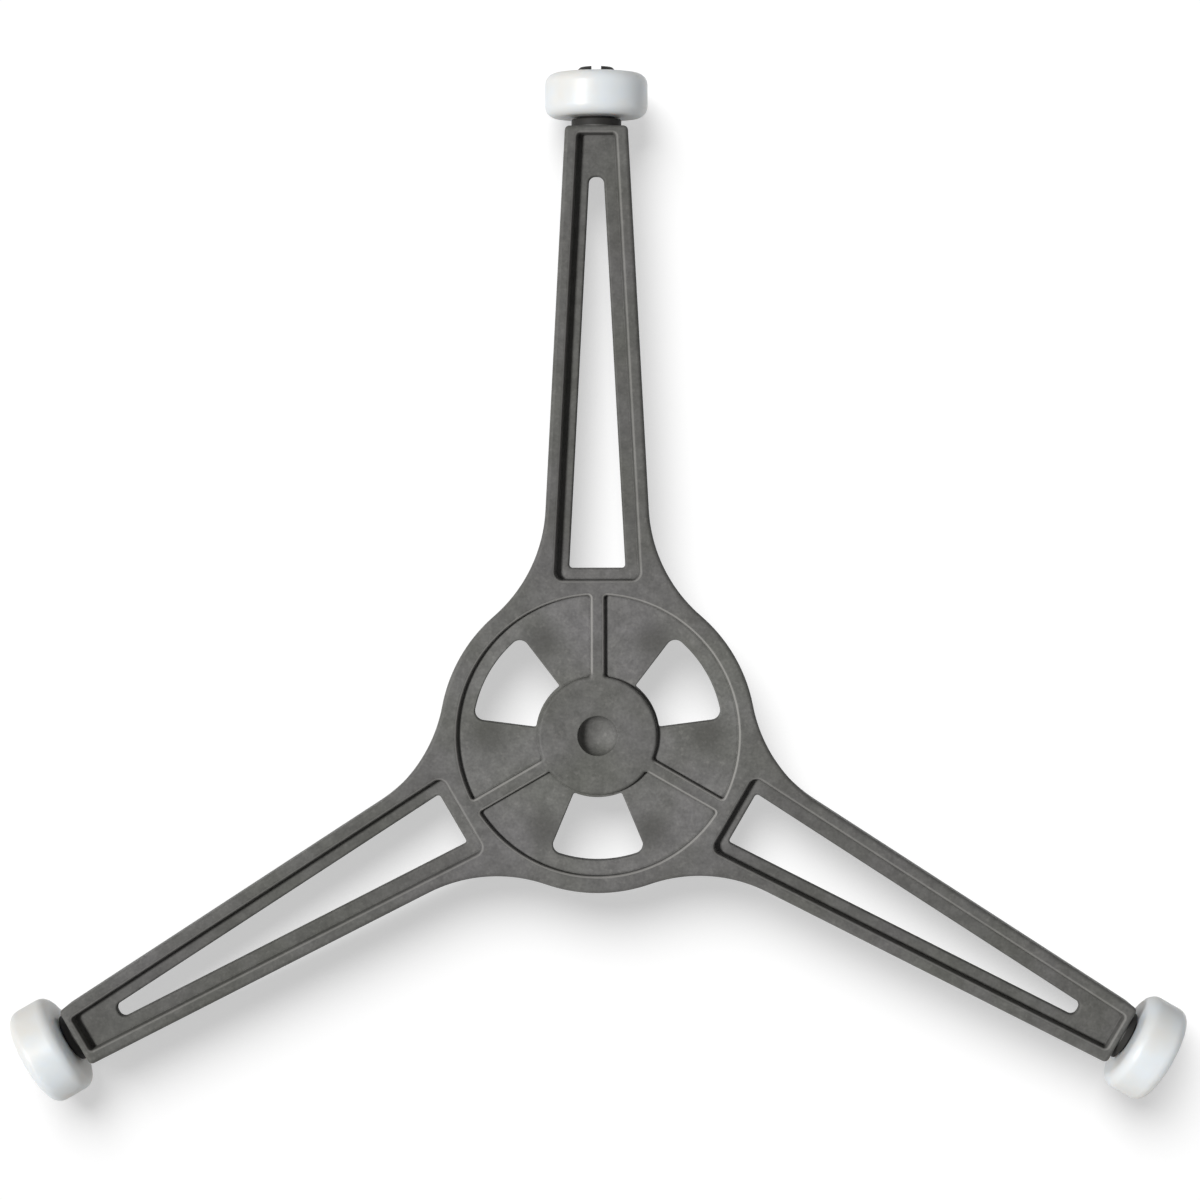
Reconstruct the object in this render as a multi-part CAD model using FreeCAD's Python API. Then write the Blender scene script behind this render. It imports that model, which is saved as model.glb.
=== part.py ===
import FreeCAD
import Part
import math
import os

# Three-arm roller support that carries and turns the glass tray of a microwave oven.
# It has four pieces: one dark moulding (hub, arms and stub axles) and three white rollers.
# Millimetres, +Z up. The hub axis is the Z axis, and z = 0 is the oven floor that the rollers run on.
# One arm is drawn along +X, with u outwards and v across it, and is then turned to its place.

V = FreeCAD.Vector

# Rollers
track_radius = 87.3  # hub axis to the middle of a roller
roller_diameter = 14.0
roller_width = 6.0
roller_edge_round = 1.5
roller_edge_cuts = 2  # straight cuts that make the rounded edge
roller_bore_clearance = 0.1  # radial
roller_end_play = 0.2  # at each end of the roller
head_recess_depth = 1.2  # in the roller's outer face, for the snap head
head_recess_clearance = 0.5  # radial, round the snap head

# Stub axles, with split snap ends
axle_diameter = 5.0
collar_diameter = 6.8
collar_length = 1.1
snap_overhang = 0.6  # the snap head over the axle, radial
snap_land = 0.9  # straight part of the head before it tapers
snap_protrusion = 0.85  # the head's tip past the roller's outer face
snap_tip_radius = 2.2
snap_slot_width = 1.3
snap_slot_depth = 6.0

# Arms
arm_angles = {"back": 90, "left": 210, "right": 330}
frame_height = 7.8  # of the rims, half above the roller axes and half below
arm_root_half_width = 7.56  # where the arm's straight sides would meet the hub's edge
arm_tip_half_width = 4.28
arm_tip_chamfer = 0.5
flare_radius = 20.5  # concave, from the arm's side to the hub's edge
wall_draft = 0.2  # the outer walls lean in by this much from top to bottom
rim_width = 1.8
arm_recess_depth = 1.8
arm_floor_thickness = 1.6
arm_end_wall = 1.0
arm_end_block = 3.0  # solid length under the recessed floor, for the axle's root
recess_root_round = 1.2
ledge_width = 1.85  # the recessed floor beside the slot
ledge_root_length = 1.7  # the recessed floor at the slot's hub end
ledge_tip_length = 5.8  # the recessed floor at the slot's outer end
slot_root_round = 0.45
slot_tip_share = 0.9  # the round of the slot's outer end, as a share of its half width there

# Hub
hub_radius = 21.65
hub_rim_width = 2.35
hub_ring_wall = 1.9  # between the hub's pockets and the arms' recesses
hub_recess_depth = 1.0
hub_floor_thickness = 1.8
hub_floor_clearance = 1.5  # the oven floor to the underside of the boss
boss_radius = 8.1
rib_width = 1.8
window_half_angle = 22.6  # degrees
window_ledge = 2.15  # the hub's floor outside the windows
boss_ledge = 0.4  # the hub's floor between the boss and the windows
window_round = 1.3
dimple_radius = 2.7
dimple_depth = 1.5

# Drive boss under the hub, with a socket for a flatted motor shaft
socket_wall = 2.6  # round the socket
boss_root_step = 0.6  # the hub is solid this far outside the drive boss
shaft_diameter = 7.0
shaft_flat_offset = 2.0  # shaft axis to its flat
shaft_clearance = 0.15
socket_roof = 1.8  # between the socket and the dimple
pilot_step = 0.35  # the round pilot at the mouth is wider than the socket by this, radially
pilot_depth = 1.5

# Edge breaks of the top face
rim_edge_break = 0.4
recess_edge_break = 0.2

# Levels
axle_level = roller_diameter / 2
top_level = axle_level + frame_height / 2
bottom_level = axle_level - frame_height / 2
arm_floor_top = top_level - arm_recess_depth
arm_floor_bottom = arm_floor_top - arm_floor_thickness
hub_floor_top = top_level - hub_recess_depth
hub_floor_bottom = hub_floor_top - hub_floor_thickness
boss_bottom = hub_floor_clearance

# Places along an arm
roller_inner_face = track_radius - roller_width / 2
roller_outer_face = track_radius + roller_width / 2
collar_end = roller_inner_face - roller_end_play
arm_end = collar_end - collar_length
recess_end = arm_end - arm_end_wall
slot_end = recess_end - ledge_tip_length
under_pocket_end = arm_end - arm_end_block
pocket_radius = hub_radius - hub_rim_width
recess_start = pocket_radius + hub_ring_wall
slot_start = recess_start + ledge_root_length
window_radius = pocket_radius - window_ledge
window_start = boss_radius + boss_ledge
head_seat = roller_outer_face - head_recess_depth
head_start = head_seat + roller_end_play
head_end = roller_outer_face + snap_protrusion

# Radii about the hub axis
socket_radius = shaft_diameter / 2 + shaft_clearance
drive_boss_radius = socket_radius + socket_wall

# Radii about a roller's axis
roller_radius = roller_diameter / 2
axle_radius = axle_diameter / 2
bore_radius = axle_radius + roller_bore_clearance
head_radius = axle_radius + snap_overhang
head_recess_radius = head_radius + head_recess_clearance

# The arm's straight side as a line: its outward normal, and its distance from the hub axis
side_angle = math.atan((arm_root_half_width - arm_tip_half_width) / (arm_end - hub_radius))
side_normal = V(math.sin(side_angle), math.cos(side_angle), 0)
side_along = V(math.cos(side_angle), -math.sin(side_angle), 0)
side_distance = side_normal.dot(V(arm_end, arm_tip_half_width, 0))

up = V(0, 0, 1)
origin = V(0, 0, 0)


def turned(thing, degrees):
    """Copy of a shape or a point, turned about the hub axis."""
    if isinstance(thing, FreeCAD.Vector):
        return FreeCAD.Rotation(up, degrees).multVec(thing)
    copy = thing.copy()
    copy.rotate(origin, up, degrees)
    return copy


def across(points):
    """The same points on the arm's other side, in reverse order."""
    return [V(p.x, -p.y, p.z) for p in reversed(points)]


def polar(radius, degrees):
    return turned(V(radius, 0, 0), degrees)


def line(a, b):
    return Part.makeLine(a, b)


def arc(points):
    return Part.Arc(*points).toShape()


def prism(edges, low, high):
    """Straight solid between two levels, from a closed loop drawn at z = 0."""
    face = Part.Face(Part.Wire(Part.__sortEdges__(edges)))
    face.translate(up * low)
    return face.extrude(up * (high - low))


def rounded(solid, radius, wanted):
    """Round the upright edges whose place passes the test."""
    uprights = [e for e in solid.Edges if abs(e.tangentAt(e.FirstParameter).z) > 0.999]
    return solid.makeFillet(radius, [e for e in uprights if wanted(e.CenterOfMass)])


def side(u, inset):
    """Point of the arm's left side, moved in by inset, at a distance u from the hub axis."""
    return V(u, (side_distance - inset - side_normal.x * u) / side_normal.y, 0)


def polygon(points):
    return [line(a, b) for a, b in zip(points, points[1:] + points[:1])]


def flare(inset):
    """Concave arc tangent to the hub's edge and to the arm's side: hub point, middle, side point."""
    normal_part = side_distance + flare_radius
    along_part = math.sqrt((hub_radius + flare_radius) ** 2 - normal_part**2)
    centre = side_normal * normal_part + side_along * along_part
    to_hub = V(-centre.x, -centre.y, 0).normalize()
    to_side = side_normal * -1
    middle = (to_hub + to_side).normalize()
    return [centre + d * (flare_radius + inset) for d in (to_hub, middle, to_side)]


def outline(inset, level):
    """The moulding's plan, moved in by inset: hub arcs, flares, straight sides and chamfered arm ends."""
    end = arm_end - inset
    left_flare = flare(inset)
    left_tip = [side(end, inset) - V(0, arm_tip_chamfer, 0), side(end - arm_tip_chamfer, inset)]
    right_flare = across(left_flare)
    right_tip = across(left_tip)
    gap = 360 / len(arm_angles)
    hub_middle = polar(hub_radius - inset, gap / 2)
    arm = [
        arc(right_flare[::-1]),
        line(right_flare[0], right_tip[0]),
        line(right_tip[0], right_tip[1]),
        line(right_tip[1], left_tip[0]),
        line(left_tip[0], left_tip[1]),
        line(left_tip[1], left_flare[2]),
        arc(left_flare[::-1]),
        arc([left_flare[0], hub_middle, turned(right_flare[2], gap)]),
    ]
    edges = [turned(e, a) for a in sorted(arm_angles.values()) for e in arm]
    wire = Part.Wire(Part.__sortEdges__(edges))
    wire.translate(up * level)
    return wire


def arm_prism(start, end, inset, low, high):
    """Tapered block inside an arm: its sides follow the arm's, moved in by inset, and its ends are square."""
    left = [side(start, inset), side(end, inset)]
    return prism(polygon(left + across(left)), low, high)


def sector_loop(inner, outer, inner_half, outer_half):
    """Fan-shaped loop about +X between two radii, with the half angle of each."""
    return [
        arc([polar(inner, inner_half), polar(inner, 0), polar(inner, -inner_half)]),
        line(polar(inner, -inner_half), polar(outer, -outer_half)),
        arc([polar(outer, -outer_half), polar(outer, 0), polar(outer, outer_half)]),
        line(polar(outer, outer_half), polar(inner, inner_half)),
    ]


def hub_pocket(inner, low, high):
    """Space between two ribs, from an inner radius to the hub's ring."""
    half_gap = 180 / len(arm_angles)
    inner_half = half_gap - math.degrees(math.asin(rib_width / 2 / inner))
    outer_half = half_gap - math.degrees(math.asin(rib_width / 2 / pocket_radius))
    return prism(sector_loop(inner, pocket_radius, inner_half, outer_half), low, high)


def hub_window():
    """Fan-shaped hole in the hub's floor, with its two outer corners rounded."""
    loop = sector_loop(window_start, window_radius, window_half_angle, window_half_angle)
    window = prism(loop, hub_floor_bottom, hub_floor_top)
    middle = (window_start + window_radius) / 2
    return rounded(window, window_round, lambda p: math.hypot(p.x, p.y) > middle)


def arm_openings():
    """What is cut from one arm: the recess on top, the pocket underneath and the slot between them."""
    middle = (slot_start + slot_end) / 2
    recess = arm_prism(recess_start, recess_end, rim_width, arm_floor_top, top_level)
    recess = rounded(recess, recess_root_round, lambda p: p.x < middle)
    slot = arm_prism(slot_start, slot_end, rim_width + ledge_width, arm_floor_bottom, arm_floor_top)
    slot = rounded(slot, slot_root_round, lambda p: p.x < middle)
    slot_tip_round = slot_tip_share * side(slot_end, rim_width + ledge_width).y
    slot = rounded(slot, slot_tip_round, lambda p: p.x > middle)
    pocket = arm_prism(recess_start, under_pocket_end, rim_width, bottom_level, arm_floor_bottom)
    return [recess, slot, pocket]


def drive_socket():
    """Blind hole for the flatted shaft, open below, with a round pilot at its mouth."""
    depth = top_level - dimple_depth - socket_roof - boss_bottom
    hole = Part.makeCylinder(socket_radius, depth, up * boss_bottom)
    flat = Part.makeBox(2 * socket_radius, socket_radius, depth)
    flat.translate(V(-socket_radius, -shaft_flat_offset - shaft_clearance - socket_radius, boss_bottom))
    pilot = Part.makeCylinder(socket_radius + pilot_step, pilot_depth, up * boss_bottom)
    return hole.cut(flat).fuse(pilot)


def dimple():
    """Shallow spherical hollow in the top of the boss."""
    ball_radius = (dimple_radius**2 + dimple_depth**2) / (2 * dimple_depth)
    return Part.makeSphere(ball_radius, up * (top_level - dimple_depth + ball_radius))


def turned_profile(points):
    """Solid turned about the roller's axis: the points are (u, distance from that axis)."""
    corners = [V(u, 0, axle_level + r) for u, r in points]
    face = Part.Face(Part.makePolygon(corners + corners[:1]))
    return face.revolve(V(0, 0, axle_level), V(1, 0, 0), 360)


def stub_axle():
    """Collar, axle and snap head in one, rooted in the arm's end wall and split from the tip."""
    root = arm_end - arm_end_wall / 2
    axle = turned_profile(
        [
            (root, 0),
            (root, collar_diameter / 2),
            (collar_end, collar_diameter / 2),
            (collar_end, axle_radius),
            (head_start, axle_radius),
            (head_start, head_radius),
            (head_start + snap_land, head_radius),
            (head_end, snap_tip_radius),
            (head_end, 0),
        ]
    )
    split = Part.makeBox(snap_slot_depth, snap_slot_width, roller_diameter)
    split.translate(V(head_end - snap_slot_depth, -snap_slot_width / 2, 0))
    return axle.cut(split)


def top_face(frame):
    """The moulding's widest flat at the top level."""
    return max((f for f in frame.Faces if f.BoundBox.ZMin > top_level - 0.001), key=lambda f: f.Area)


def broken_edges(frame):
    """Break the edges of the top face: the outer outline, then every recess."""
    frame = frame.makeChamfer(rim_edge_break, top_face(frame).OuterWire.Edges)
    top = top_face(frame)
    recesses = [e for w in top.Wires if not w.isSame(top.OuterWire) for e in w.Edges]
    return frame.makeChamfer(recess_edge_break, recesses)


def spider_frame():
    """The moulding: drafted body, hub and arm openings, drive boss with its socket, and axles."""
    body = Part.makeLoft([outline(wall_draft, bottom_level), outline(0, top_level)], True, True)
    half_gap = 180 / len(arm_angles)
    cuts = []
    for angle in arm_angles.values():
        hub_cuts = [
            hub_pocket(boss_radius, hub_floor_top, top_level),
            hub_pocket(drive_boss_radius + boss_root_step, bottom_level, hub_floor_bottom),
            hub_window(),
        ]
        cuts += [turned(c, angle + half_gap) for c in hub_cuts]
        cuts += [turned(c, angle) for c in arm_openings()]
    frame = broken_edges(body.cut(cuts).removeSplitter())
    drive_boss = Part.makeCylinder(drive_boss_radius, hub_floor_bottom - boss_bottom, up * boss_bottom)
    axles = [turned(stub_axle(), angle) for angle in arm_angles.values()]
    return frame.fuse([drive_boss] + axles).cut([drive_socket(), dimple()]).removeSplitter()


def rounded_edge(face, inwards):
    """Points along the tread's rounded edge, from the roller's face to its tread."""
    steps = [math.radians(90 * i / roller_edge_cuts) for i in range(roller_edge_cuts + 1)]
    centre_u = face + inwards * roller_edge_round
    centre_r = roller_radius - roller_edge_round
    return [
        (centre_u - inwards * roller_edge_round * math.cos(a), centre_r + roller_edge_round * math.sin(a))
        for a in steps
    ]


def roller():
    """Roller with rounded tread edges, a plain bore and a recess for the snap head in its outer face."""
    bore = [
        (roller_outer_face, head_recess_radius),
        (head_seat, head_recess_radius),
        (head_seat, bore_radius),
        (roller_inner_face, bore_radius),
    ]
    inner_edge = rounded_edge(roller_inner_face, 1)
    outer_edge = rounded_edge(roller_outer_face, -1)[::-1]
    return turned_profile(inner_edge + outer_edge + bore)


os.makedirs("parts", exist_ok=True)
spider_frame().exportStep("parts/spider_frame.step")
for place, angle in arm_angles.items():
    turned(roller(), angle).exportStep(f"parts/roller_{place}.step")
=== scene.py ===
import math
from collections import namedtuple

import bpy
import numpy as np
from mathutils.geometry import tessellate_polygon
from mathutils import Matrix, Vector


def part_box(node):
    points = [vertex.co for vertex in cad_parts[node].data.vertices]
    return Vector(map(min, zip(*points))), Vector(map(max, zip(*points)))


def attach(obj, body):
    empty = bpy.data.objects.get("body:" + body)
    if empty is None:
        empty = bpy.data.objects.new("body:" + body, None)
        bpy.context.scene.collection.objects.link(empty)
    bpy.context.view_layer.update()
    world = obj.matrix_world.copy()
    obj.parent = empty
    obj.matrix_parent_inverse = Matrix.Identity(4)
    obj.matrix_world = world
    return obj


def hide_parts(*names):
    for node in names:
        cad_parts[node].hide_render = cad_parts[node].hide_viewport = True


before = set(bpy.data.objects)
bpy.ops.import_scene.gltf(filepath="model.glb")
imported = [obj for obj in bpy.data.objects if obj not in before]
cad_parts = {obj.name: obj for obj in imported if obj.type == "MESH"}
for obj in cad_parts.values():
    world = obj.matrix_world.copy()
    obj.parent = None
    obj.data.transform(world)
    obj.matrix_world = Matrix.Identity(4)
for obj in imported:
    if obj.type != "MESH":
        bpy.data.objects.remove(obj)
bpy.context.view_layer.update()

# Looks of a three-arm roller support: one dark moulding and three white rollers, on a white floor.
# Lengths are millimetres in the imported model's frame, and times MM they become Blender's metres.
# One arm is drawn along +X, with u outwards and v across it, and is then turned to its place.

MM = 0.001

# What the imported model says: the back roller stands across +Y, so its box gives faces, radius and level
roller_low, roller_high = (np.array(corner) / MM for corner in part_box("roller_back"))
frame_low, frame_high = (np.array(corner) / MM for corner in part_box("spider_frame"))
roller_inner_face = roller_low[1]
roller_outer_face = roller_high[1]
roller_radius = (roller_high[2] - roller_low[2]) / 2
axle_level = (roller_high[2] + roller_low[2]) / 2
top_level = frame_high[2]
bottom_level = 2 * axle_level - top_level
boss_bottom = frame_low[2]
head_end = frame_high[1]

# Stub axles with split snap ends
roller_end_play = 0.2
collar_length = 1.1
collar_radius = 3.4
collar_edge_round = 0.2
axle_radius = 2.5
axle_corner_round = 0.1
axle_root_depth = 0.5  # how far the axle reaches into the arm's end wall
snap_overhang = 0.6
head_radius = axle_radius + snap_overhang
head_land = 0.9  # straight part of the head before it tapers
head_lead = 0.12  # lean of the head's back face
head_back_round = 0.12
head_edge_round = 0.3
head_tip_radius = 2.2
split_depth = 6.0
split_half_width = 0.65
prong_root = 0.5  # how far a prong reaches into the axle's solid root

# Rollers
tread_edge_round = 1.5
roller_bore_clearance = 0.1
bore_radius = axle_radius + roller_bore_clearance
bore_edge_round = 0.25
head_recess_clearance = 0.5
head_recess_radius = head_radius + head_recess_clearance
head_recess_depth = 1.2
head_recess_edge_round = 0.3
seat_corner_round = 0.15
seat_edge_round = 0.2

# Arms
arm_angles = {"back": 90, "left": 210, "right": 330}
arm_half_gap = 180 / len(arm_angles)  # degrees from an arm to the middle of the gap beside it
arm_root_half_width = 7.56  # where the arm's straight sides would meet the hub's edge
arm_tip_half_width = 4.28
arm_tip_round = 0.68
flare_radius = 20.5  # concave, from the arm's side to the hub's edge
wall_draft = 0.2  # the outer walls lean in by this much from top to bottom
rim_width = 1.8
rim_top_width = 1.66  # where the recess walls have leaned out
arm_recess_depth = 1.8
arm_floor_thickness = 1.6
arm_end_wall = 1.0
arm_end_block = 3.0  # solid length under the recessed floor
recess_root_round = 1.2
recess_tip_round = 0.55
pocket_tip_round = 0.5
ledge_width = 1.85  # the recessed floor beside the slot
ledge_root_length = 1.7
ledge_tip_length = 5.8
slot_root_round = 0.45
slot_tip_round = 0.89

# Hub
hub_radius = 21.65
hub_rim_width = 2.35
hub_ring_wall = 1.9  # between the hub's pockets and the arms' recesses
hub_recess_depth = 1.0
hub_floor_thickness = 1.8
boss_radius = 8.1
boss_ledge = 0.4  # the hub's floor between the boss and the windows
rib_width = 1.8
pocket_corner_round = 0.4
window_ledge = 2.15  # the hub's floor outside the windows
window_half_angle = 22.6
window_outer_round = 1.3
window_inner_round = 0.3
dimple_radius = 2.7
dimple_depth = 2.2
dimple_lip = 0.16  # the softened edge starts this far outside the dimple's radius
dimple_rim_share = 0.97  # and ends on the cap, at this share of the cap's rim angle
dimple_disc_share = 0.015  # at this share the cap ends in a small flat disc

# Drive boss under the hub
socket_radius = 3.65
socket_wall = 2.6
socket_flat_offset = 2.15
socket_roof_depth = 3.3  # below the top face
socket_corner_round = 0.3
pilot_step = 0.35  # the round pilot at the mouth is wider than the socket by this, radially
pilot_depth = 1.5
boss_root_step = 0.6  # the hub is solid this far outside the drive boss

# Edge rounds of the moulding, and how far its recess walls lean in from top to floor
outer_edge_round = 0.58
bottom_edge_round = 0.3
recess_edge_round = 0.44
recess_floor_round = 0.15
pocket_floor_round = 0.1
slot_edge_round = 0.35
through_edge_round = 0.2
arm_recess_lean = 0.2
hub_recess_lean = 0.1

# Fineness of the meshes
chord_error = 0.004  # how far a span of a plan arc may lie inside its arc
lathe_step = 3.0  # degrees between two points round an axle
corner_steps = 5  # spans along a rounded corner of a section
dimple_steps = 24  # rings of points on the dimple's cap
prong_steps = 33  # points across each side of a prong
same_point = 0.001  # neighbours on a plan loop that are this close are one point
weld_decimals = 4  # points of two patches that agree to this many decimals are one vertex

# Places along an arm
collar_end = roller_inner_face - roller_end_play
arm_end = collar_end - collar_length
axle_root = arm_end - axle_root_depth
recess_end = arm_end - arm_end_wall
slot_end = recess_end - ledge_tip_length
under_pocket_end = arm_end - arm_end_block
pocket_radius = hub_radius - hub_rim_width
recess_start = pocket_radius + hub_ring_wall
slot_start = recess_start + ledge_root_length
head_seat = roller_outer_face - head_recess_depth
head_start = head_seat + roller_end_play
split_start = head_end - split_depth

# Levels
arm_floor_top = top_level - arm_recess_depth
arm_floor_bottom = arm_floor_top - arm_floor_thickness
hub_floor_top = top_level - hub_recess_depth
hub_floor_bottom = hub_floor_top - hub_floor_thickness
socket_roof_level = top_level - socket_roof_depth
pilot_level = boss_bottom + pilot_depth

# Radii about the hub axis
window_inner_radius = boss_radius + boss_ledge
window_radius = pocket_radius - window_ledge
pilot_radius = socket_radius + pilot_step
drive_boss_radius = socket_radius + socket_wall
under_pocket_radius = drive_boss_radius + boss_root_step

# The arm's straight side as a line: its lean, its outward normal and its distance from the hub axis
side_taper = (arm_root_half_width - arm_tip_half_width) / (arm_end - hub_radius)
side_angle = math.degrees(math.atan(side_taper))
side_normal = np.array([math.sin(math.radians(side_angle)), math.cos(math.radians(side_angle))])
side_distance = side_normal @ [arm_end, arm_tip_half_width]

# Plan loops run anticlockwise. Loop.out points away from the space that the loop encloses.
Loop = namedtuple("Loop", "points out")
# Section lines run with the visible side on their right. A point has an offset along Loop.out and a level,
# and its normal has a part along Loop.out and a part upwards.
Section = namedtuple("Section", "offset level out up")
# A patch is a piece of surface: its points, its normals and its faces as rows of point numbers.
Patch = namedtuple("Patch", "points normals faces")
# Where a material is on the moulding, in millimetres: distance from the hub axis, level, plan place beside
# the nearest arm, distance along that arm, and distance out along the normal of its side.
ArmPlace = namedtuple("ArmPlace", "reach level beside along out")


def polar(radius, degrees):
    """Plan points at a radius and a bearing: the radius times the bearing's cosine and sine."""
    angle = np.radians(degrees)
    return np.stack([radius * np.cos(angle), radius * np.sin(angle)], axis=-1)


def side(u, inset):
    """Half width of the arm at a distance u from the hub axis, with its sides moved in by inset."""
    return (side_distance - inset - side_normal[0] * u) / side_normal[1]


def arc_loop(arcs):
    """Closed plan curve: arcs (centre, radius, start and end angle) in order, joined by straight lines.

    An arc's points are its centre plus the radius at each angle, in spans that stay within chord_error.
    An arc that runs clockwise is hollow, so its outward side faces its own centre.
    """
    points, out = [], []
    for centre, radius, start, end in arcs:
        span = 2 * math.degrees(math.acos(1 - chord_error / radius))
        angles = np.linspace(start, end, math.ceil(abs(end - start) / span) + 1)
        points.append(np.asarray(centre) + polar(radius, angles))
        out.append(polar(1.0, angles) * np.sign(end - start))
    points, out = np.concatenate(points), np.concatenate(out)
    apart = np.linalg.norm(points - np.roll(points, 1, axis=0), axis=1) > same_point
    return Loop(points[apart], out[apart])


def turned(loop, degrees):
    """The loop turned about the hub axis: both of its rows times the rotation by that angle."""
    rotation = np.array([polar(1.0, degrees), polar(1.0, degrees + 90)])
    return Loop(loop.points @ rotation, loop.out @ rotation)


def outline_loop():
    """The moulding's plan: for each arm a hollow flare, two tip corners, the other flare and a hub arc.

    A flare's circle touches the hub's circle and the arm's side from outside, so its centre lies at the
    sum of the radii from the hub axis and at the flare's radius from the side line.
    """
    side_along = np.array([side_normal[1], -side_normal[0]])
    normal_part = side_distance + flare_radius
    along_part = math.sqrt((hub_radius + flare_radius) ** 2 - normal_part**2)
    flare_centre = side_normal * normal_part + side_along * along_part
    flare_reach = np.linalg.norm(flare_centre)
    flare_bearing = math.degrees(math.atan2(flare_centre[1], flare_centre[0]))
    tip_u = arm_end - arm_tip_round
    tip_v = side(tip_u, arm_tip_round)
    tip_reach = math.hypot(tip_u, tip_v)
    tip_bearing = math.degrees(math.atan2(tip_v, tip_u))
    arcs = []
    for angle in sorted(arm_angles.values()):
        right_flare = polar(flare_reach, angle - flare_bearing)
        left_flare = polar(flare_reach, angle + flare_bearing)
        right_tip = polar(tip_reach, angle - tip_bearing)
        left_tip = polar(tip_reach, angle + tip_bearing)
        arcs += [
            (right_flare, flare_radius, angle + 180 - flare_bearing, angle + 90 + side_angle),
            (right_tip, arm_tip_round, angle - 90 + side_angle, angle),
            (left_tip, arm_tip_round, angle, angle + 90 - side_angle),
            (left_flare, flare_radius, angle + 270 - side_angle, angle + 180 + flare_bearing),
            ((0, 0), hub_radius, angle + flare_bearing, angle + 2 * arm_half_gap - flare_bearing),
        ]
    return arc_loop(arcs)


def arm_loop(start, end, inset, root_round, tip_round):
    """Tapered opening along an arm, with four rounded corners: its sides are the arm's, moved in by inset."""
    root_u, tip_u = start + root_round, end - tip_round
    root_v, tip_v = side(root_u, inset + root_round), side(tip_u, inset + tip_round)
    lean = 90 - side_angle
    return arc_loop(
        [
            ((tip_u, tip_v), tip_round, 0, lean),
            ((root_u, root_v), root_round, lean, 180),
            ((root_u, -root_v), root_round, 180, 360 - lean),
            ((tip_u, -tip_v), tip_round, 360 - lean, 360),
        ]
    )


def fan_loop(inner, outer, half_angle, side_gap, inner_round, outer_round):
    """Fan about +X between two circles, its sides parallel to the rays at half_angle, side_gap inside.

    A corner's centre lies its own radius inside the circle and inside the side, so its bearing falls short
    of the ray's by the arc sine of (gap + round) over its distance from the hub axis.
    """
    outer_reach, inner_reach = outer - outer_round, inner + inner_round
    outer_half = half_angle - math.degrees(math.asin((side_gap + outer_round) / outer_reach))
    inner_half = half_angle - math.degrees(math.asin((side_gap + inner_round) / inner_reach))
    upright = half_angle + 90
    return arc_loop(
        [
            ((0, 0), outer, -outer_half, outer_half),
            (polar(outer_reach, outer_half), outer_round, outer_half, upright),
            (polar(inner_reach, inner_half), inner_round, upright, 180 + inner_half),
            ((0, 0), inner, inner_half, -inner_half),
            (polar(inner_reach, -inner_half), inner_round, 180 - inner_half, 360 - upright),
            (polar(outer_reach, -outer_half), outer_round, 360 - upright, 360 - outer_half),
        ]
    )


def socket_loop():
    """Round socket with one flat, facing -Y, and rounded corners between the flat and the wall."""
    reach = socket_radius - socket_corner_round
    drop = socket_flat_offset - socket_corner_round
    bearing = math.degrees(math.asin(drop / reach))
    return arc_loop(
        [
            ((0, 0), socket_radius, -bearing, 180 + bearing),
            (polar(reach, 180 + bearing), socket_corner_round, 180 + bearing, 270),
            (polar(reach, -bearing), socket_corner_round, 270, 360 - bearing),
        ]
    )


def axis_loop():
    """Circle of no radius, for lathe work: a section's offset is then its distance from the axis."""
    angles = np.arange(0, 360, lathe_step)
    return Loop(np.zeros((len(angles), 2)), polar(1.0, angles))


def section(corners, rounds, closed=False):
    """Section line through corners (offset, level), each corner swept by an arc of its own radius.

    The arc turns the line's right-hand normal by the corner's turn. Its centre lies one radius behind the
    normal at an outer corner (a left turn), and one radius in front of it at an inner one. The end points
    of an open line only give directions: the line starts and ends where its first and last arcs touch.
    """
    corners = np.array(corners, float)
    if closed:
        corners = np.concatenate([corners[-1:], corners, corners[:1]])
    arriving = corners[1:-1] - corners[:-2]
    leaving = corners[2:] - corners[1:-1]
    arriving /= np.linalg.norm(arriving, axis=1, keepdims=True)
    leaving /= np.linalg.norm(leaving, axis=1, keepdims=True)
    cross = arriving[:, 0] * leaving[:, 1] - arriving[:, 1] * leaving[:, 0]
    turn = np.arctan2(cross, np.sum(arriving * leaving, axis=1))
    radius = np.array(rounds, float) * np.sign(turn)
    touch = corners[1:-1] - arriving * (radius * np.tan(turn / 2))[:, None]
    normal = np.stack([arriving[:, 1], -arriving[:, 0]], axis=1)
    centre = touch - radius[:, None] * normal
    angle = turn[:, None] * np.linspace(0, 1, corner_steps + 1)
    out = normal[:, :1] * np.cos(angle) - normal[:, 1:] * np.sin(angle)
    up = normal[:, :1] * np.sin(angle) + normal[:, 1:] * np.cos(angle)
    offset = centre[:, :1] + radius[:, None] * out
    level = centre[:, 1:] + radius[:, None] * up
    return Section(offset.ravel(), level.ravel(), out.ravel(), up.ravel())


def grid_faces(rows, columns, wrap_rows=False, wrap_columns=False):
    """Four-sided faces between neighbours on a grid of points, joined end to end where it wraps."""
    row = np.arange(rows if wrap_rows else rows - 1)[:, None]
    column = np.arange(columns if wrap_columns else columns - 1)[None]
    next_row, next_column = (row + 1) % rows, (column + 1) % columns
    corners = [
        row * columns + column,
        row * columns + next_column,
        next_row * columns + next_column,
        next_row * columns + column,
    ]
    return np.stack(corners, axis=-1).reshape(-1, 4)


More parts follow.
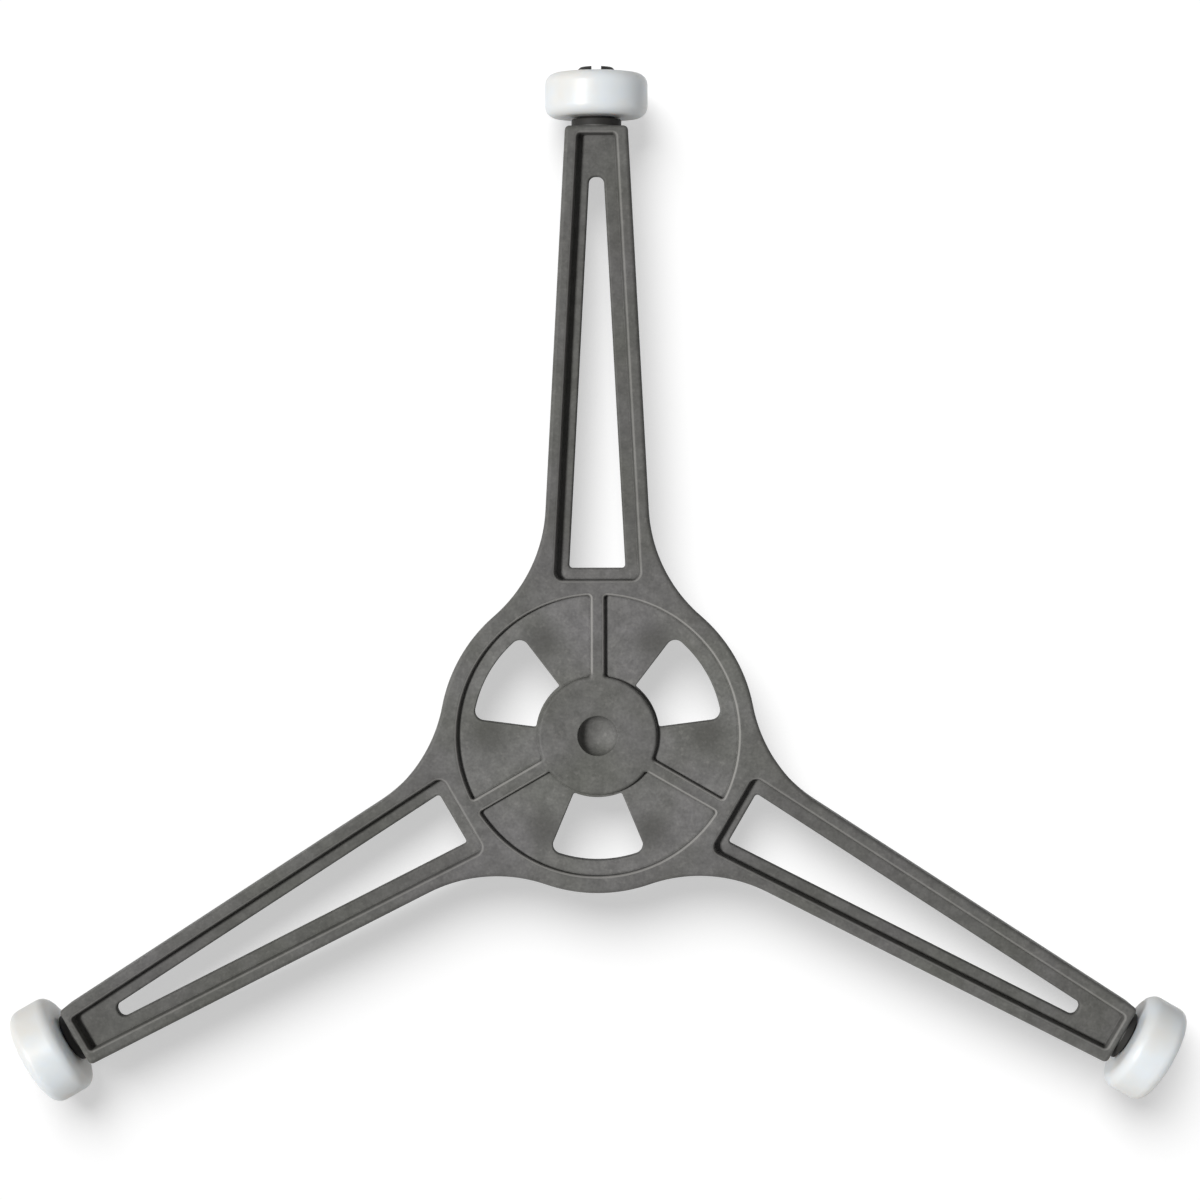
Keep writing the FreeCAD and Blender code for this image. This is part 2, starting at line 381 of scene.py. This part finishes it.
def sweep(loop, line, closed=False):
    """A section line carried along a loop: loop point plus offset times its outward normal, at the level."""
    rows, columns = len(line.offset), len(loop.points)
    plan = loop.points[None] + line.offset[:, None, None] * loop.out[None]
    level = np.broadcast_to(line.level[:, None, None], (rows, columns, 1))
    flat_normal = line.out[:, None, None] * loop.out[None]
    up = np.broadcast_to(line.up[:, None, None], (rows, columns, 1))
    points = np.concatenate([plan, level], axis=2).reshape(-1, 3)
    normals = np.concatenate([flat_normal, up], axis=2).reshape(-1, 3)
    return Patch(points, normals, grid_faces(rows, columns, closed, True))


def first_edge(patch, loop):
    """The points of a swept patch's first row, once round the loop."""
    return patch.points[: len(loop.points)]


def last_edge(patch, loop):
    """The points of a swept patch's last row, once round the loop."""
    return patch.points[-len(loop.points):]


def flat(outer, holes, facing):
    """Level face inside one closed edge and outside others, as triangles, facing up (1) or down (-1)."""
    rings = [outer, *holes]
    points = np.concatenate(rings)
    triangles = np.array(tessellate_polygon([ring.tolist() for ring in rings]))
    a, b, c = (points[triangles[:, i], :2] for i in range(3))
    area = (b - a)[:, 0] * (c - a)[:, 1] - (b - a)[:, 1] * (c - a)[:, 0]
    wrong = area * facing < 0
    triangles[wrong] = triangles[wrong][:, ::-1]
    normals = np.tile([0.0, 0.0, float(facing)], (len(points), 1))
    return Patch(points, normals, triangles)


def placed(patch, degrees):
    """The patch turned about the hub axis: its points and normals times the rotation by that angle."""
    rotation = np.identity(3)
    rotation[:2, :2] = [polar(1.0, degrees), polar(1.0, degrees + 90)]
    return Patch(patch.points @ rotation, patch.normals @ rotation, patch.faces)


def on_axle(patch):
    """Patch made about +Z, laid along the arm and lifted to the axle: its Z becomes u and its X becomes v."""
    order = [2, 0, 1]
    return Patch(patch.points[:, order] + [0, 0, axle_level], patch.normals[:, order], patch.faces)


def outer_wall():
    """From the lower face over a rounded edge, up the leaning wall and over its rounded upper edge."""
    return section(
        [(-1 - wall_draft, bottom_level), (-wall_draft, bottom_level), (0, top_level), (-1, top_level)],
        [bottom_edge_round, outer_edge_round],
    )


def recess_wall(floor, floor_round, lean):
    """From the top face over a rounded edge down a leaning wall to a rounded floor corner."""
    return section(
        [(1, top_level), (0, top_level), (-lean, floor), (-1 - lean, floor)],
        [recess_edge_round, floor_round],
    )


def through_wall(top, bottom, edge_round):
    """Straight through a floor, with both edges rounded."""
    return section([(1, top), (0, top), (0, bottom), (1, bottom)], [edge_round, edge_round])


def under_wall(ceiling, low):
    """From a ceiling down a straight wall to the level face below."""
    return section(
        [(-1, ceiling), (0, ceiling), (0, low), (1, low)],
        [recess_floor_round, bottom_edge_round],
    )


def arm_patches(angle):
    """Walls and floors of one arm's openings, with the recess's upper edge and the pocket's lower one."""
    recess = turned(
        arm_loop(recess_start, recess_end, rim_top_width, recess_root_round, recess_tip_round), angle
    )
    slot = turned(
        arm_loop(slot_start, slot_end, rim_width + ledge_width, slot_root_round, slot_tip_round), angle
    )
    pocket = turned(
        arm_loop(recess_start, under_pocket_end, rim_width, pocket_tip_round, pocket_tip_round), angle
    )
    recess_side = sweep(recess, recess_wall(arm_floor_top, recess_floor_round, arm_recess_lean))
    slot_side = sweep(slot, through_wall(arm_floor_top, arm_floor_bottom, slot_edge_round))
    pocket_side = sweep(pocket, under_wall(arm_floor_bottom, bottom_level))
    floor = flat(last_edge(recess_side, recess), [first_edge(slot_side, slot)], 1)
    ceiling = flat(first_edge(pocket_side, pocket), [last_edge(slot_side, slot)], -1)
    patches = [recess_side, slot_side, pocket_side, floor, ceiling]
    return patches, first_edge(recess_side, recess), last_edge(pocket_side, pocket)


def hub_patches(angle):
    """Walls and floors of one hub pocket and its window, with the pocket's upper and lower edges."""
    gap = rib_width / 2
    corner = pocket_corner_round
    pocket = turned(fan_loop(boss_radius, pocket_radius, arm_half_gap, gap, corner, corner), angle)
    under = turned(fan_loop(under_pocket_radius, pocket_radius, arm_half_gap, gap, corner, corner), angle)
    window = turned(
        fan_loop(
            window_inner_radius,
            window_radius,
            window_half_angle,
            side_gap=0,
            inner_round=window_inner_round,
            outer_round=window_outer_round,
        ),
        angle,
    )
    pocket_side = sweep(pocket, recess_wall(hub_floor_top, pocket_floor_round, hub_recess_lean))
    window_side = sweep(window, through_wall(hub_floor_top, hub_floor_bottom, through_edge_round))
    under_side = sweep(under, under_wall(hub_floor_bottom, bottom_level))
    floor = flat(last_edge(pocket_side, pocket), [first_edge(window_side, window)], 1)
    ceiling = flat(first_edge(under_side, under), [last_edge(window_side, window)], -1)
    patches = [pocket_side, window_side, under_side, floor, ceiling]
    return patches, first_edge(pocket_side, pocket), last_edge(under_side, under)


def dimple_patches():
    """The round hollow in the boss: a spherical cap and its closing disc, with the hollow's upper edge.

    The cap is part of a ball of radius (r squared + d squared) / 2d for a rim radius r and a depth d. It
    starts a little below its rim, where the soft lip meets it, and ends at a small disc.
    """
    axis = axis_loop()
    ball = (dimple_radius**2 + dimple_depth**2) / (2 * dimple_depth)
    rim_angle = math.asin(dimple_radius / ball)
    angles = np.linspace(rim_angle * dimple_rim_share, rim_angle * dimple_disc_share, dimple_steps)
    centre_level = top_level - dimple_depth + ball
    cap = Section(
        np.concatenate([[dimple_radius + dimple_lip], ball * np.sin(angles)]),
        np.concatenate([[top_level], centre_level - ball * np.cos(angles)]),
        np.concatenate([[0.0], -np.sin(angles)]),
        np.concatenate([[1.0], np.cos(angles)]),
    )
    cap_patch = sweep(axis, cap)
    bottom = flat(last_edge(cap_patch, axis), [], 1)
    return [cap_patch, bottom], first_edge(cap_patch, axis)


def drive_boss_patches():
    """The boss under the hub: round wall, lower face, round pilot, step, flatted socket and its roof."""
    axis = axis_loop()
    socket = socket_loop()
    wall = sweep(
        axis,
        section(
            [
                (drive_boss_radius - 1, boss_bottom),
                (drive_boss_radius, boss_bottom),
                (drive_boss_radius, bottom_level),
                (drive_boss_radius + 1, bottom_level),
            ],
            [bottom_edge_round, through_edge_round],
        ),
    )
    pilot = sweep(
        axis,
        section(
            [
                (pilot_radius - 1, pilot_level),
                (pilot_radius, pilot_level),
                (pilot_radius, boss_bottom),
                (pilot_radius + 1, boss_bottom),
            ],
            [through_edge_round / 2, bottom_edge_round],
        ),
    )
    hole = sweep(
        socket,
        section(
            [(-1, socket_roof_level), (0, socket_roof_level), (0, pilot_level), (1, pilot_level)],
            [through_edge_round, through_edge_round / 2],
        ),
    )
    lower_face = flat(first_edge(wall, axis), [last_edge(pilot, axis)], -1)
    step = flat(first_edge(pilot, axis), [last_edge(hole, socket)], -1)
    roof = flat(first_edge(hole, socket), [], -1)
    return [wall, pilot, hole, lower_face, step, roof], last_edge(wall, axis)


def collar_patches():
    """Thrust collar and the axle's solid root, turned about the axle and closed at both ends."""
    axis = axis_loop()
    shape = section(
        [
            (0, axle_root),
            (collar_radius, axle_root),
            (collar_radius, collar_end),
            (axle_radius, collar_end),
            (axle_radius, split_start),
            (0, split_start),
        ],
        [axle_corner_round, collar_edge_round, axle_corner_round, axle_corner_round],
    )
    side_patch = sweep(axis, shape)
    root = flat(first_edge(side_patch, axis), [], -1)
    face = flat(last_edge(side_patch, axis), [], 1)
    return [side_patch, root, face]


def prong_patches(direction):
    """Half of the split snap end: a turned section cut off at the split's wall.

    At each place along the axle the round side is the arc of radius r beyond the wall, so its half angle
    is the arc cosine of wall / r, and the flat side is the chord between the arc's ends.
    """
    head = section(
        [
            (axle_radius, split_start),
            (axle_radius, head_start),
            (head_radius, head_start + head_lead),
            (head_radius, head_start + head_land),
            (head_tip_radius, head_end),
            (0, head_end),
        ],
        [axle_corner_round, head_back_round, head_edge_round, head_edge_round],
    )
    root = (axle_radius, split_start - prong_root, 1.0, 0.0)
    shape = Section(*(np.insert(row, 0, start) for row, start in zip(head, root)))
    radius = shape.offset[:, None]
    half = np.arccos(split_half_width / radius)
    across = np.linspace(-1, 1, prong_steps)[None]
    turn = half * across
    level = np.broadcast_to(shape.level[:, None], turn.shape)
    out = np.broadcast_to(shape.out[:, None], turn.shape)
    up = np.broadcast_to(shape.up[:, None], turn.shape)
    round_points = np.stack([radius * np.cos(turn), radius * np.sin(turn), level], axis=-1)
    round_normals = np.stack([out * np.cos(turn), out * np.sin(turn), up], axis=-1)
    wall = np.full(turn.shape, split_half_width)
    chord_points = np.stack([wall, radius * np.sin(half) * -across, level], axis=-1)
    chord_points[:, 0] = round_points[:, -1]
    chord_points[:, -1] = round_points[:, 0]
    chord_normals = np.broadcast_to([-1.0, 0.0, 0.0], chord_points.shape)
    faces = grid_faces(*turn.shape)
    ends = np.concatenate([round_points, chord_points[:, 1:-1]], axis=1)
    patches = [
        Patch(round_points.reshape(-1, 3), round_normals.reshape(-1, 3), faces),
        Patch(chord_points.reshape(-1, 3), chord_normals.reshape(-1, 3), faces),
        flat(ends[0], [], -1),
        flat(ends[-1], [], 1),
    ]
    return [placed(p, direction) for p in patches]


def moulding_patches():
    """The whole moulding: outer wall, top and lower faces, and everything that opens or stands in them."""
    outline = outline_loop()
    wall = sweep(outline, outer_wall())
    dimple, dimple_edge = dimple_patches()
    drive_boss, drive_edge = drive_boss_patches()
    patches = [wall, *dimple, *drive_boss]
    upper_edges, lower_edges = [dimple_edge], [drive_edge]
    for angle in arm_angles.values():
        for made, upper, lower in (arm_patches(angle), hub_patches(angle + arm_half_gap)):
            patches += made
            upper_edges.append(upper)
            lower_edges.append(lower)
        axle = collar_patches() + prong_patches(0) + prong_patches(180)
        patches += [placed(on_axle(p), angle) for p in axle]
    patches.append(flat(last_edge(wall, outline), upper_edges, 1))
    patches.append(flat(first_edge(wall, outline), lower_edges, -1))
    return patches


def roller_patches(angle):
    """Roller turned about its axle: rounded tread edges, a plain bore and a recess for the snap head."""
    shape = section(
        [
            (bore_radius, roller_inner_face),
            (roller_radius, roller_inner_face),
            (roller_radius, roller_outer_face),
            (head_recess_radius, roller_outer_face),
            (head_recess_radius, head_seat),
            (bore_radius, head_seat),
        ],
        [
            bore_edge_round,
            tread_edge_round,
            tread_edge_round,
            head_recess_edge_round,
            seat_corner_round,
            seat_edge_round,
        ],
        closed=True,
    )
    return [placed(on_axle(sweep(axis_loop(), shape, closed=True)), angle)]


def piece(name, patches, material):
    """Object of several patches: points that coincide become one vertex, and each patch keeps its normals."""
    points = np.concatenate([p.points for p in patches])
    normals = np.concatenate([p.normals for p in patches])
    starts = np.cumsum([0] + [len(p.points) for p in patches[:-1]])
    corners = np.concatenate([(p.faces + start).ravel() for p, start in zip(patches, starts)])
    sides = np.concatenate([np.full(len(p.faces), p.faces.shape[1]) for p in patches])
    rounded = np.round(points, weld_decimals)
    _, kept, number = np.unique(rounded, axis=0, return_index=True, return_inverse=True)
    mesh = bpy.data.meshes.new(name)
    mesh.vertices.add(len(kept))
    mesh.vertices.foreach_set("co", (points[kept] * MM).ravel())
    mesh.loops.add(len(corners))
    mesh.loops.foreach_set("vertex_index", number.ravel()[corners])
    mesh.polygons.add(len(sides))
    mesh.polygons.foreach_set("loop_start", np.cumsum(sides) - sides)
    mesh.update(calc_edges=True)
    mesh.normals_split_custom_set(normals[corners].tolist())
    mesh.materials.append(material)
    thing = bpy.data.objects.new(name, mesh)
    bpy.context.scene.collection.objects.link(thing)
    return thing


def linear(code):
    """Linear colour of an sRGB hex code.

    A part p of the code, as a share of 255, gives (p + 0.055) / 1.055 to the power 2.4, or near black
    p / 12.92.
    """
    parts = np.array([int(code[i:i + 2], 16) for i in (1, 3, 5)]) / 255
    bright = ((parts + 0.055) / 1.055) ** 2.4
    return (*np.where(parts > 0.04045, bright, parts / 12.92).tolist(), 1.0)


def add(tree, kind, inputs=None, **settings):
    """Add a node: settings are its properties, and each input is a value, or a socket or node to link from.

    A node stands for the first of its outputs that is in use.
    """
    made = tree.nodes.new(kind)
    for name, value in settings.items():
        setattr(made, name, value)
    for name, value in (inputs or {}).items():
        if isinstance(value, bpy.types.Node):
            value = next(output for output in value.outputs if output.enabled)
        if isinstance(value, bpy.types.NodeSocket):
            tree.links.new(value, made.inputs[name])
        else:
            made.inputs[name].default_value = value
    return made


def new_material(name):
    """A material with an empty node tree, and that tree."""
    material = bpy.data.materials.new(name)
    material.use_nodes = True
    material.node_tree.nodes.clear()
    return material, material.node_tree


def object_place(tree):
    """Object coordinates in millimetres, and the normal in the same axes."""
    seat = add(tree, "ShaderNodeTexCoord").outputs
    place = add(tree, "ShaderNodeVectorMath", {0: seat["Object"], "Scale": 1 / MM}, operation="SCALE")
    return place, seat["Normal"]


def between(tree, cloud, dark, light):
    """Colour between two tones, over the middle of a noise's range, where most of its values lie."""
    share = add(tree, "ShaderNodeMapRange", {"Value": cloud, "From Min": 0.34, "From Max": 0.66})
    ends = {"Factor": share, "A": linear(dark), "B": linear(light)}
    return add(tree, "ShaderNodeMix", ends, data_type="RGBA")


def mask(tree, strength, limits):
    """Strength times one smooth step for each limit: a value, where its step is 0 and where it is 1."""
    for value, start, end in limits:
        ends = {"Value": value, "From Min": start, "From Max": end}
        step = add(tree, "ShaderNodeMapRange", ends, interpolation_type="SMOOTHSTEP")
        strength = add(tree, "ShaderNodeMath", {0: strength, 1: step}, operation="MULTIPLY")
    return strength


def arm_place(tree, place):
    """A point's place on the moulding, with its bearing folded onto one side of its nearest arm.

    The side line's normal times the folded place is the point's distance out along that normal.
    """
    spot = add(tree, "ShaderNodeSeparateXYZ", {"Vector": place}).outputs
    plan = add(tree, "ShaderNodeVectorMath", {0: place, 1: (1, 1, 0)}, operation="MULTIPLY")
    reach = add(tree, "ShaderNodeVectorMath", {0: plan}, operation="LENGTH")
    bearing = add(tree, "ShaderNodeMath", {0: spot["Y"], 1: spot["X"]}, operation="ARCTAN2")
    back_to_zero, half_gap = math.radians(360 - arm_angles["back"]), math.radians(arm_half_gap)
    from_arm = add(tree, "ShaderNodeMath", {0: bearing, 1: back_to_zero}, operation="ADD")
    folded = add(tree, "ShaderNodeMath", {0: from_arm, 1: half_gap}, operation="PINGPONG")
    ray = add(tree, "ShaderNodeCombineXYZ", {"X": reach})
    swung = {"Vector": ray, "Angle": folded}
    beside = add(tree, "ShaderNodeVectorRotate", swung, rotation_type="Z_AXIS")
    along = add(tree, "ShaderNodeSeparateXYZ", {"Vector": beside}).outputs["X"]
    out = add(tree, "ShaderNodeVectorMath", {0: beside, 1: (*side_normal, 0)}, operation="DOT_PRODUCT")
    return ArmPlace(reach, spot["Z"], beside, along, out)


def window_marks(tree, at, strength):
    """Darker patches on the hub's floor beside the windows' outer corners: one folded mark stands for six."""
    mark_reach, mark_bearing = 15.0, 30.5  # from the hub axis, and in degrees from the nearest arm
    mark_edge, mark_core = 4.2, 0.6  # distances from the mark's middle
    middle = (*polar(mark_reach, mark_bearing), 0)
    away = add(tree, "ShaderNodeVectorMath", {0: at.beside, 1: middle}, operation="DISTANCE")
    below_top = (at.level, top_level - 0.4, top_level - 0.7)
    return mask(tree, strength, [(away, mark_edge, mark_core), below_top])


def recess_lips(tree, at, normal, arm_strength, hub_strength):
    """The rounded upper lips of the recesses, and nothing of the boss, the dimple and the outer edge.

    A lip's normal leans, so its upward part is neither near 0, as on a wall, nor near 1, as on a level face.
    The outer edge leans too: an arm's lip is told from it by the distance from the arm's side line, and a
    hub pocket's by the distance from the hub axis.
    """
    lift = add(tree, "ShaderNodeSeparateXYZ", {"Vector": normal}).outputs["Z"]
    inside_arm_edge = (at.out, side_distance - 1.0, side_distance - 1.3)
    inside_hub_edge = (at.reach, pocket_radius + 1.3, pocket_radius + 0.9)
    in_arm = mask(tree, arm_strength, [inside_arm_edge])
    in_hub = mask(tree, hub_strength, [inside_hub_edge])
    inside = add(tree, "ShaderNodeMath", {0: in_arm, 1: in_hub}, operation="MAXIMUM")
    off_wall, off_level = (lift, 0.2, 0.5), (lift, 0.98, 0.88)
    short_of_tip = (at.along, recess_end + 0.4, recess_end + 0.3)
    outside_boss = (at.reach, boss_radius + 0.1, boss_radius + 0.8)
    near_top = (at.level, top_level - 0.5, top_level - 0.35)
    return mask(tree, inside, [off_wall, off_level, short_of_tip, outside_boss, near_top])


def glass_filled_polymer():
    """Glass-filled polymer, injection moulded in a spark-eroded mould, dark warm grey.

    The eye sees a dull surface with a fine grain, cloudy flow marks where the melt cooled at different
    speeds, darker patches beside the windows, arms a little darker than the hub, most on their recessed
    floors, light scuffs, raised faces darkened by handling, recess lips lighter, partly rubbed by handling
    and partly a painted highlight, painted shade in the inner corners, and dark grease with painted shade on
    the axles.
    """
    material, tree = new_material("moulded_glass_filled_polymer")
    place, normal = object_place(tree)
    at = arm_place(tree, place)
    # Width in millimetres and detail of each pattern. The mould's own grain is about 0.1 mm wide and too fine
    # to show, so it is drawn four times as coarse.
    grain, scratches, mottle, clouds, tint = (
        add(tree, "ShaderNodeTexNoise", {"Vector": place, "Scale": 1 / width, "Detail": detail})
        for width, detail in ((0.4, 4.0), (0.7, 6.0), (1.7, 5.0), (9.0, 3.0), (14.0, 2.0))
    )
    clouded = between(tree, clouds, "#706F6B", "#838182")
    tinted = between(tree, tint, "#797B74", "#81807F")
    colour = add(tree, "ShaderNodeMix", {"Factor": 0.5, "A": clouded, "B": tinted}, data_type="RGBA")
    for pattern, share, dark in ((mottle, 0.55, "#C4C4C4"), (grain, 0.4, "#BEBEBE")):
        shade = {"Factor": share, "A": colour, "B": between(tree, pattern, dark, "#FFFFFF")}
        colour = add(tree, "ShaderNodeMix", shade, data_type="RGBA", blend_type="MULTIPLY")

    # The marks and the painted shade in the inner corners are stronger where the mottle is light
    patchy = {"Value": mottle, "From Min": 0.25, "From Max": 0.6}
    marked = add(tree, "ShaderNodeMapRange", {**patchy, "To Min": 0.25, "To Max": 0.6})
    corner_shade_strength = add(tree, "ShaderNodeMapRange", {**patchy, "To Min": 0.5, "To Max": 0.75})
    # Ambient occlusion places the painted shade in the inner corners
    nook = add(tree, "ShaderNodeAmbientOcclusion", {"Distance": 0.5 * MM}, samples=8).outputs["AO"]
    on_top = (at.level, top_level - 0.4, top_level - 0.2)
    on_arm = (at.reach, hub_radius - 2, hub_radius + 6)
    on_low_floor = (at.level, top_level - 0.8, top_level - 1.2)
    on_axle_end = (at.reach, arm_end + 0.05, arm_end + 0.2)
    scuffs = mask(tree, 0.25, [(scratches, 0.54, 0.72)])
    handled_top = mask(tree, 0.14, [on_top])
    darker_arms = mask(tree, 0.15, [on_arm])
    darker_arm_floors = mask(tree, 0.2, [on_arm, on_low_floor])
    # Lighter recess lips: partly wear from handling, partly a painted highlight
    rubbed_and_highlit_lips = recess_lips(tree, at, normal, arm_strength=0.26, hub_strength=0.48)
    # Painted shade: the inner corners darkened where ambient occlusion finds them
    painted_corner_shade = mask(tree, corner_shade_strength, [(nook, 0.82, 0.5)])
    # Dark grease together with painted shade on the collars and the snap ends
    grease_and_shade = mask(tree, 0.85, [on_axle_end])
    layers = [
        (scuffs, "#95938F"),
        (window_marks(tree, at, marked), "#3F3E3B"),
        (handled_top, "#343330"),
        (darker_arms, "#343330"),
        (darker_arm_floors, "#343330"),
        # recess lips: wear and painted highlight
        (rubbed_and_highlit_lips, "#B4B2AE"),
        # painted shade in the inner corners
        (painted_corner_shade, "#171614"),
        # grease and painted shade on the axle ends
        (grease_and_shade, "#201F1E"),
    ]
    for share, tone in layers:
        mixed = {"Factor": share, "A": colour, "B": linear(tone)}
        colour = add(tree, "ShaderNodeMix", mixed, data_type="RGBA")

    dull = {"Value": grain, "From Min": 0.3, "From Max": 0.7, "To Min": 0.5, "To Max": 0.64}
    rough = {"Height": grain, "Strength": 0.4, "Distance": 0.03 * MM}
    surface = add(
        tree,
        "ShaderNodeBsdfPrincipled",
        {
            "Base Color": colour,
            "Roughness": add(tree, "ShaderNodeMapRange", dull),
            "IOR": 1.5,
            "Specular IOR Level": 0.12,
            "Normal": add(tree, "ShaderNodeBump", rough),
        },
    )
    add(tree, "ShaderNodeOutputMaterial", {"Surface": surface})
    return material


def acetal():
    """Acetal, moulded and tumbled, white.

    The eye sees a waxy, slightly translucent white that turns a little blue in places, with a broad soft
    highlight and a very fine tumbled grain.
    """
    material, tree = new_material("moulded_white_acetal")
    place, _ = object_place(tree)
    # Width in millimetres and detail of each pattern. The real tumbled grain is too fine to show, so it is
    # drawn coarser.
    cloud, grain = (
        add(tree, "ShaderNodeTexNoise", {"Vector": place, "Scale": 1 / width, "Detail": detail})
        for width, detail in ((7.0, 2.0), (0.4, 3.0))
    )
    tumbled = {"Height": grain, "Strength": 0.2, "Distance": 0.02 * MM}
    surface = add(
        tree,
        "ShaderNodeBsdfPrincipled",
        {
            "Base Color": between(tree, cloud, "#DFDEDA", "#E0E5E8"),
            "Roughness": 0.42,
            "IOR": 1.48,
            "Subsurface Weight": 0.7,
            "Subsurface Radius": (1.0, 0.9, 0.8),
            "Subsurface Scale": 3.5 * MM,
            "Normal": add(tree, "ShaderNodeBump", tumbled),
        },
    )
    add(tree, "ShaderNodeOutputMaterial", {"Surface": surface})
    return material


def seen_directly(tree):
    """1 for rays from the camera, from gloss and through glass, and 0 for the rays that carry light."""
    path = add(tree, "ShaderNodeLightPath").outputs
    seen = path["Is Camera Ray"]
    for kind in ("Is Glossy Ray", "Is Transmission Ray"):
        seen = add(tree, "ShaderNodeMath", {0: seen, 1: path[kind]}, operation="MAXIMUM")
    return seen


def white_paper():
    """Matt white paper. Seen directly it glows a little, so that it is white and its shadows stay pale."""
    material, tree = new_material("matt_white_paper")
    paper = add(tree, "ShaderNodeBsdfDiffuse", {"Color": linear("#E4E4E4")})
    shaded = add(tree, "ShaderNodeBsdfDiffuse", {"Color": linear("#C6C6C6")})
    glow = add(tree, "ShaderNodeEmission", {"Color": linear("#FFFFFF"), "Strength": 0.525})
    bright = add(tree, "ShaderNodeAddShader", {0: shaded, 1: glow})
    surface = add(tree, "ShaderNodeMixShader", {0: seen_directly(tree), 1: paper, 2: bright})
    add(tree, "ShaderNodeOutputMaterial", {"Surface": surface})
    return material


def floor():
    """Square floor, in metres, at the level that the rollers stand on."""
    half = 6.0
    corners = [(-half, -half, 0), (half, -half, 0), (half, half, 0), (-half, half, 0)]
    mesh = bpy.data.meshes.new("floor")
    mesh.from_pydata(corners, [], [(0, 1, 2, 3)])
    mesh.materials.append(white_paper())
    thing = bpy.data.objects.new("floor", mesh)
    bpy.context.scene.collection.objects.link(thing)
    return thing


def sky(fill):
    """Even surroundings: white where they are seen directly, and a soft fill as the light that they give."""
    world = bpy.data.worlds.new("studio")
    bpy.context.scene.world = world
    world.use_nodes = True
    tree = world.node_tree
    tree.nodes.clear()
    ends = {"Value": seen_directly(tree), "To Min": fill, "To Max": 1.0}
    strength = add(tree, "ShaderNodeMapRange", ends)
    white = add(tree, "ShaderNodeBackground", {"Color": linear("#FFFFFF"), "Strength": strength})
    add(tree, "ShaderNodeOutputWorld", {"Surface": white})


def lamp(name, bearing, height, spread, share, lit):
    """Distant soft lamp that lights only the things in lit, and that everything may shade.

    Share is what it adds to a white level surface, so its strength is share x pi / sin(height).
    """
    data = bpy.data.lights.new(name, "SUN")
    data.angle = math.radians(spread)
    data.energy = share * math.pi / math.sin(math.radians(height))
    thing = bpy.data.objects.new(name, data)
    thing.rotation_euler = (0, math.radians(90 - height), math.radians(bearing))
    bpy.context.scene.collection.objects.link(thing)
    receivers = bpy.data.collections.new(f"lit_by_{name}")
    for each in lit:
        receivers.objects.link(each)
    thing.light_linking.receiver_collection = receivers


def camera():
    """The photograph's view: from far above, a little beyond the hub towards the back arm."""
    place = (0.4, 38.4, 464.7)
    tilt, swing = -2.5, -0.12  # degrees about X and about Z
    data = bpy.data.cameras.new("camera")
    data.sensor_width = 36.0
    data.lens = 100.0
    data.clip_start = 0.01
    thing = bpy.data.objects.new("camera", data)
    thing.location = [distance * MM for distance in place]
    thing.rotation_euler = (math.radians(tilt), 0.0, math.radians(swing))
    bpy.context.scene.collection.objects.link(thing)
    bpy.context.scene.camera = thing


dark_plastic = glass_filled_polymer()
white_plastic = acetal()

moulding = piece("moulded_spider", moulding_patches(), dark_plastic)
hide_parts("spider_frame")
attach(moulding, "frame")

rollers = []
for where, bearing in arm_angles.items():
    roller = piece(f"turned_roller_{where}", roller_patches(bearing), white_plastic)
    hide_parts(f"roller_{where}")
    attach(roller, f"{where}_roller")
    rollers.append(roller)

# In the photograph the part is lit from the left and its ground shadow falls to the front, so the part and
# the floor have a lamp each. A weak third one lifts the rollers' shaded sides.
sky(fill=0.085)
lamp("part_softbox", bearing=180, height=57, spread=10, share=0.86, lit=[moulding, *rollers])
lamp("roller_fill", bearing=0, height=30, spread=50, share=0.08, lit=rollers)
lamp("floor_softbox", bearing=112, height=54, spread=36, share=0.8, lit=[floor()])
camera()
bpy.context.scene.view_settings.view_transform = "Standard"
